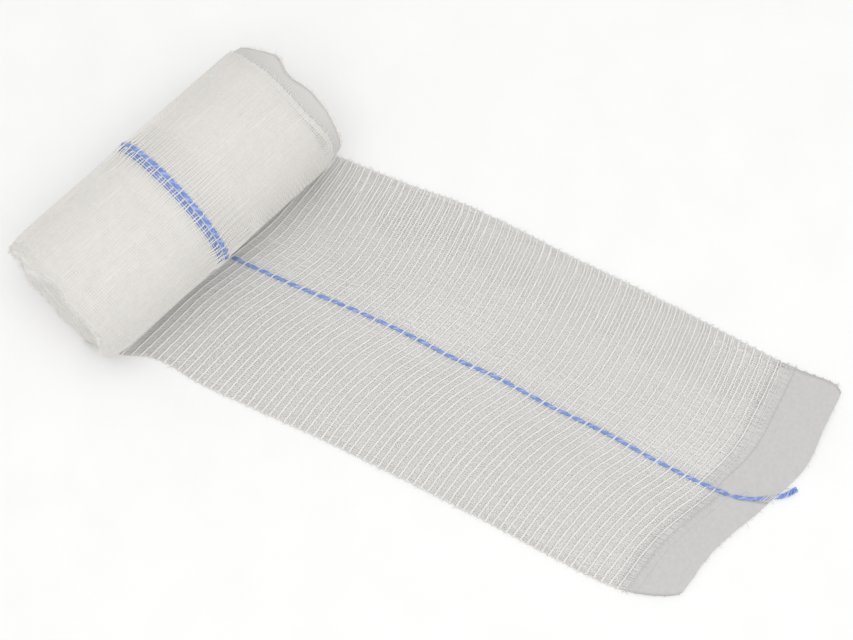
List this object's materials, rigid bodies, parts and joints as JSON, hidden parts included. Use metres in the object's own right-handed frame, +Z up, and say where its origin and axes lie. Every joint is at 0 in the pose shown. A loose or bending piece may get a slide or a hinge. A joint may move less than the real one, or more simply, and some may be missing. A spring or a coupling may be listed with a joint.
{
  "type": "partly unrolled gauze bandage strip",
  "caption": "Soft woven gauze strip wound into a short roll with its free end lying flat and a coloured marker thread along its middle, for wrapping and padding.",
  "frame": {"origin": "on the resting surface, under the middle of the whole strip's bounding box", "axes": "+X from the roll along the free tail, +Y along the roll's axis, +Z up"},
  "size_m": [0.1862, 0.1328, 0.0414],
  "materials": {
    "gauze": "soft open plain weave, slightly crimped white yarn",
    "marker_thread": "soft dyed blue yarn"
  },
  "bodies": {
    "root": {"gauze_band": "gauze", "marker_thread_tail": "marker_thread", "marker_thread_roll": "marker_thread"}
  },
  "joints": []
}
